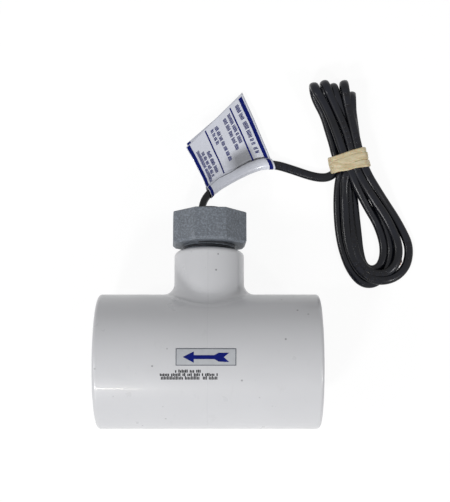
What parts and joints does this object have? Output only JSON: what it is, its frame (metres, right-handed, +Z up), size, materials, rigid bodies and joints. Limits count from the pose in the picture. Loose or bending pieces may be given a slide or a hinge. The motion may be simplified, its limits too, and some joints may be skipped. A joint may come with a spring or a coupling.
{
  "type": "paddle flow switch",
  "caption": "Paddle flow switch screwed into a white reducing tee for glued pipe, with a twin cable wound into a hank and held by a rubber band.",
  "frame": {"origin": "on the surface that the switch lies on, under the middle of the tee and switch without the cable", "axes": "+Z up, X along the tee's run with the flow towards -X, the branch and switch point to +Y and dip 11.5 degrees until the head rests on the surface"},
  "size_m": [0.1692, 0.1873, 0.0701],
  "materials": {
    "white_pvc": "satin moulded white PVC",
    "silver_label": "silver printed film",
    "grey_pvc": "matt moulded grey PVC",
    "steel": "ground stainless",
    "magnet": "nickel plated",
    "glass": "clear green glass",
    "reed_metal": "plated reed alloy",
    "red_insulation": "extruded PVC",
    "black_insulation": "extruded PVC",
    "sleeve": "shrink sleeve",
    "black_resin": "cast epoxy",
    "cable_jacket": "extruded PVC jacket",
    "band_rubber": "natural rubber",
    "white_vinyl": "laminated vinyl"
  },
  "bodies": {
    "root": {"tee_body": "white_pvc", "arrow_label": "silver_label", "switch_body": "grey_pvc", "pivot_pin": "steel", "return_magnet": "magnet", "reed_glass": "glass", "reed_fixed_blade": "reed_metal", "reed_upper_lead": "reed_metal", "signal_wire_red": "red_insulation", "signal_wire_black": "black_insulation", "splice_sleeve_red": "sleeve", "splice_sleeve_black": "sleeve", "potting_plug": "black_resin", "cable_lead": "cable_jacket", "cable_hank": "cable_jacket", "rubber_band": "band_rubber", "wrap_label": "white_vinyl", "wire_end_red": "red_insulation", "wire_end_black": "black_insulation"},
    "paddle": {"paddle": "grey_pvc", "paddle_magnet": "magnet", "magnet_cap": "grey_pvc"},
    "reed_blade": {"reed_moving_blade": "reed_metal"}
  },
  "joints": [
    {"name": "paddle_swing", "type": "hinge", "parent": "root", "child": "paddle", "pos_m": [0, -0.00186, 0.03062], "axis": [0, -0.1993, -0.9799], "range_deg": [0, 30], "stiffness_Nm_per_rad": 0.0005},
    {"name": "reed_close", "type": "hinge", "parent": "root", "child": "reed_blade", "pos_m": [0.00298, 0.02833, 0.02448], "axis": [0, -0.1993, -0.9799], "range_deg": [-2.1, 0.1]}
  ],
  "couplings": [
    {"joint": "reed_close", "follows": "paddle_swing", "ratio": -0.066667}
  ]
}
